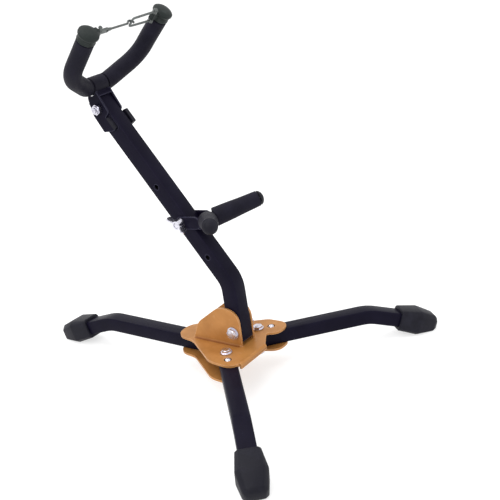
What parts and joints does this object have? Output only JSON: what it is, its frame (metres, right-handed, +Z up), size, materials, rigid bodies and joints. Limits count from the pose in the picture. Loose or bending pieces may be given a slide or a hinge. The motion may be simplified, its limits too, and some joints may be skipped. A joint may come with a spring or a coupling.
{
  "type": "saxophone stand",
  "caption": "Folding tripod floor stand for a saxophone, with a leaning square upright, a padded V support below and a padded yoke with a wire keeper above.",
  "frame": {"origin": "on the floor, at the middle of the rectangle that the stand covers", "axes": "+Z up, -Y towards the instrument side where the yoke and the support open, X across, the stand's middle plane is X = 0"},
  "size_m": [0.4126, 0.442, 0.421],
  "materials": {
    "black_paint": "satin black powder coat",
    "gold_paint": "satin orange gold coat",
    "chrome": "bright plated steel",
    "black_foam": "matt black foam sleeve with a closed skin",
    "black_rubber": "matt moulded rubber",
    "grey_rubber": "dark grey moulded rubber",
    "dark_steel": "dark plated wire",
    "black_plastic": "moulded nylon"
  },
  "bodies": {
    "base": {"hub_top_plate": "gold_paint", "hub_bottom_plate": "gold_paint", "left_leg_bolt": "chrome", "left_leg_nut": "chrome", "right_leg_bolt": "chrome", "right_leg_nut": "chrome", "rear_leg_bolt": "chrome", "rear_leg_nut": "chrome", "rear_leg_rivet": "chrome", "rear_leg_nut_inner": "chrome", "upright_bolt": "chrome", "upright_nut": "chrome", "rear_leg": "black_paint", "rear_foot": "black_rubber"},
    "left_leg": {"left_leg": "black_paint", "left_foot": "black_rubber"},
    "right_leg": {"right_leg": "black_paint", "right_foot": "black_rubber"},
    "left_button": {"left_leg_button": "chrome"},
    "right_button": {"right_leg_button": "chrome"},
    "upright": {"upright_tube": "black_paint", "upright_top_plug": "black_plastic", "yoke_stop_bar": "black_plastic", "fork_bolt": "chrome", "yoke_bolt": "chrome", "yoke_nut": "chrome"},
    "wing_nut": {"fork_wing_nut": "chrome"},
    "fork": {"fork_bracket": "black_paint", "fork_rod": "black_paint", "fork_sleeve_left": "black_foam", "fork_sleeve_right": "black_foam", "fork_cap_left": "black_rubber", "fork_cap_right": "black_rubber"},
    "yoke": {"yoke_bracket": "black_paint", "yoke_rod": "black_paint", "yoke_sleeve_left": "black_foam", "yoke_sleeve_right": "black_foam", "yoke_centre_pad": "black_foam", "yoke_cap_left": "grey_rubber", "yoke_cap_right": "grey_rubber", "keeper_pin_left": "dark_steel", "keeper_pin_right": "dark_steel"},
    "keeper_rod": {"keeper_rod": "dark_steel"},
    "keeper_loop": {"keeper_loop": "dark_steel"}
  },
  "joints": [
    {"name": "left_leg_fold", "type": "hinge", "parent": "base", "child": "left_leg", "pos_m": [-0.03263, -0.06578, 0.035], "axis": [0, 0, -1], "range_deg": [0, 125], "deforming": ["left_leg_button"]},
    {"name": "right_leg_fold", "type": "hinge", "parent": "base", "child": "right_leg", "pos_m": [0.03263, -0.06578, 0.035], "axis": [0, 0, 1], "range_deg": [0, 125], "deforming": ["right_leg_button"]},
    {"name": "left_button_press", "type": "slide", "parent": "left_leg", "child": "left_button", "axis": [0, 0, -1], "range_m": [0, 0.0048], "stiffness_N_per_m": 500, "springref_m": -0.002},
    {"name": "right_button_press", "type": "slide", "parent": "right_leg", "child": "right_button", "axis": [0, 0, -1], "range_m": [0, 0.0048], "stiffness_N_per_m": 500, "springref_m": -0.002},
    {"name": "upright_fold", "type": "hinge", "parent": "base", "child": "upright", "pos_m": [0, -0.06451, 0.0625], "axis": [-1, 0, 0], "range_deg": [0, 55]},
    {"name": "fork_fold", "type": "hinge", "parent": "upright", "child": "fork", "pos_m": [0, -0.00859, 0.18992], "axis": [-1, 0, 0], "range_deg": [0, 60]},
    {"name": "wing_nut_turn", "type": "hinge", "parent": "upright", "child": "wing_nut", "pos_m": [-0.0127, -0.00859, 0.18992], "axis": [-1, 0, 0], "continuous": true},
    {"name": "yoke_fold", "type": "hinge", "parent": "upright", "child": "yoke", "pos_m": [0, 0.08863, 0.31675], "axis": [1, 0, 0], "range_deg": [0, 90]},
    {"name": "keeper_rod_swing", "type": "hinge", "parent": "yoke", "child": "keeper_rod", "pos_m": [-0.0456, 0.03886, 0.41043], "axis": [0, -0.6545, 0.7561], "range_deg": [0, 110]},
    {"name": "keeper_loop_swing", "type": "hinge", "parent": "yoke", "child": "keeper_loop", "pos_m": [0.046, 0.03886, 0.41043], "axis": [0, -0.6545, 0.7561], "range_deg": [0, 100]}
  ]
}
